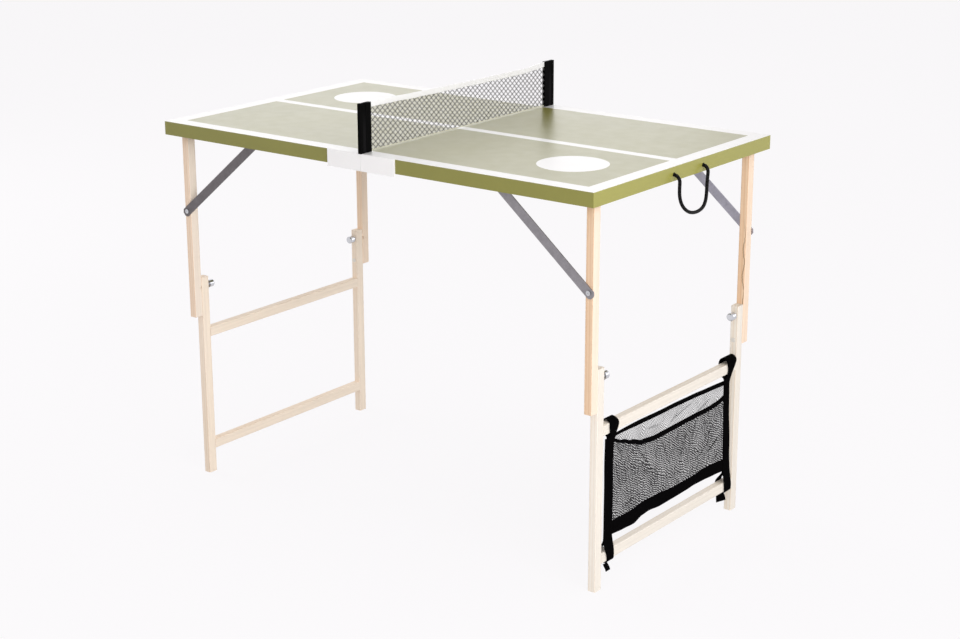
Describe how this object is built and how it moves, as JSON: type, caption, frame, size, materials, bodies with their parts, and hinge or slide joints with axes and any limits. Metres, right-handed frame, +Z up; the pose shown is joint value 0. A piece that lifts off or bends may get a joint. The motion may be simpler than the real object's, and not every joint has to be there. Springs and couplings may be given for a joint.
{
  "type": "folding table tennis table",
  "caption": "Small folding table tennis table: hinged green top, wooden leg frames with steel stays and screw knobs, lift-off net, rope handle and net bag.",
  "frame": {"origin": "on the floor under the middle of the table, where the net stands", "axes": "+X along the table to the end with the rope handle and the bag, +Y across it, +Z up"},
  "size_m": [1.0522, 0.608, 0.85],
  "materials": {
    "green_board": "satin paint, olive green under a soft sheen",
    "green_paint": "satin paint, olive green",
    "white_plate": "satin",
    "steel": "dull zinc",
    "chrome": "polished",
    "pine": "clear satin lacquer",
    "pale_pine": "clear satin lacquer",
    "black_plastic": "matt",
    "net_cord": "fine cord",
    "white_tape": "woven tape",
    "rope": "braided",
    "bag_net": "fine mesh",
    "webbing": "woven"
  },
  "bodies": {
    "left_half": {"left_board": "green_board", "left_front_rail": "green_paint", "left_back_rail": "green_paint", "left_end_rail": "green_paint", "left_centre_rail": "green_paint", "left_front_seam_plate": "white_plate", "left_back_seam_plate": "white_plate", "left_hinge_leaves": "steel", "left_leg_pins": "steel", "left_stay_guides": "steel", "hinge_pins": "steel"},
    "right_half": {"right_board": "green_board", "right_front_rail": "green_paint", "right_back_rail": "green_paint", "right_end_rail": "green_paint", "right_centre_rail": "green_paint", "right_front_seam_plate": "white_plate", "right_back_seam_plate": "white_plate", "right_hinge_leaves": "steel", "right_leg_pins": "steel", "right_stay_guides": "steel", "rope_knots": "rope", "handle_rope": "rope"},
    "left_upper_legs": {"left_front_upper_leg": "pine", "left_back_upper_leg": "pine", "left_leg_crossbar": "pine", "left_stay_screws": "chrome"},
    "left_lower_frame": {"left_front_lower_leg": "pale_pine", "left_back_lower_leg": "pale_pine", "left_upper_frame_rail": "pale_pine", "left_lower_frame_rail": "pale_pine", "left_lower_pins": "steel"},
    "right_upper_legs": {"right_front_upper_leg": "pine", "right_back_upper_leg": "pine", "right_leg_crossbar": "pine", "right_stay_screws": "chrome"},
    "right_lower_frame": {"right_front_lower_leg": "pale_pine", "right_back_lower_leg": "pale_pine", "right_upper_frame_rail": "pale_pine", "right_lower_frame_rail": "pale_pine", "right_lower_pins": "steel", "bag_pocket": "bag_net", "bag_straps": "webbing"},
    "left_front_stay": {"left_front_stay": "steel"},
    "left_front_knob": {"left_front_knob": "chrome"},
    "left_back_stay": {"left_back_stay": "steel"},
    "left_back_knob": {"left_back_knob": "chrome"},
    "right_front_stay": {"right_front_stay": "steel"},
    "right_front_knob": {"right_front_knob": "chrome"},
    "right_back_stay": {"right_back_stay": "steel"},
    "right_back_knob": {"right_back_knob": "chrome"},
    "net": {"front_net_post": "black_plastic", "back_net_post": "black_plastic", "net_mesh": "net_cord", "net_tape": "white_tape", "net_hem": "white_tape"}
  },
  "joints": [
    {"name": "top_fold", "type": "hinge", "parent": "left_half", "child": "right_half", "pos_m": [0, 0, 0.7245], "axis": [0, 1, 0], "range_deg": [0, 60]},
    {"name": "left_leg_fold", "type": "hinge", "parent": "left_half", "child": "left_upper_legs", "pos_m": [-0.49, 0, 0.738], "axis": [0, -1, 0], "range_deg": [0, 90]},
    {"name": "left_lower_fold", "type": "hinge", "parent": "left_upper_legs", "child": "left_lower_frame", "pos_m": [-0.49, 0, 0.358], "axis": [0, 1, 0], "range_deg": [0, 180]},
    {"name": "left_front_stay_turn", "type": "hinge", "parent": "left_upper_legs", "child": "left_front_stay", "pos_m": [-0.49, -0.2733, 0.571], "axis": [0, 1, 0], "range_deg": [0, 130]},
    {"name": "left_front_knob_turn", "type": "hinge", "parent": "left_lower_frame", "child": "left_front_knob", "pos_m": [-0.49, -0.222, 0.408], "axis": [0, 1, 0], "continuous": true},
    {"name": "left_back_stay_turn", "type": "hinge", "parent": "left_upper_legs", "child": "left_back_stay", "pos_m": [-0.49, 0.2733, 0.571], "axis": [0, 1, 0], "range_deg": [0, 130]},
    {"name": "left_back_knob_turn", "type": "hinge", "parent": "left_lower_frame", "child": "left_back_knob", "pos_m": [-0.49, 0.222, 0.408], "axis": [0, 1, 0], "continuous": true},
    {"name": "right_leg_fold", "type": "hinge", "parent": "right_half", "child": "right_upper_legs", "pos_m": [0.49, 0, 0.738], "axis": [0, 1, 0], "range_deg": [0, 90]},
    {"name": "right_lower_fold", "type": "hinge", "parent": "right_upper_legs", "child": "right_lower_frame", "pos_m": [0.49, 0, 0.358], "axis": [0, -1, 0], "range_deg": [0, 180]},
    {"name": "right_front_stay_turn", "type": "hinge", "parent": "right_upper_legs", "child": "right_front_stay", "pos_m": [0.49, -0.2733, 0.571], "axis": [0, -1, 0], "range_deg": [0, 130]},
    {"name": "right_front_knob_turn", "type": "hinge", "parent": "right_lower_frame", "child": "right_front_knob", "pos_m": [0.49, -0.222, 0.408], "axis": [0, 1, 0], "continuous": true},
    {"name": "right_back_stay_turn", "type": "hinge", "parent": "right_upper_legs", "child": "right_back_stay", "pos_m": [0.49, 0.2733, 0.571], "axis": [0, -1, 0], "range_deg": [0, 130]},
    {"name": "right_back_knob_turn", "type": "hinge", "parent": "right_lower_frame", "child": "right_back_knob", "pos_m": [0.49, 0.222, 0.408], "axis": [0, 1, 0], "continuous": true},
    {"name": "net_lift", "type": "slide", "parent": "left_half", "child": "net", "axis": [0, 0, 1], "range_m": [0, 0.1]}
  ],
  "couplings": [
    {"joint": "left_lower_fold", "follows": "left_leg_fold", "ratio": 2},
    {"joint": "left_front_stay_turn", "follows": "left_leg_fold", "ratio": 1.442},
    {"joint": "left_back_stay_turn", "follows": "left_leg_fold", "ratio": 1.442},
    {"joint": "right_lower_fold", "follows": "right_leg_fold", "ratio": 2},
    {"joint": "right_front_stay_turn", "follows": "right_leg_fold", "ratio": 1.442},
    {"joint": "right_back_stay_turn", "follows": "right_leg_fold", "ratio": 1.442}
  ]
}
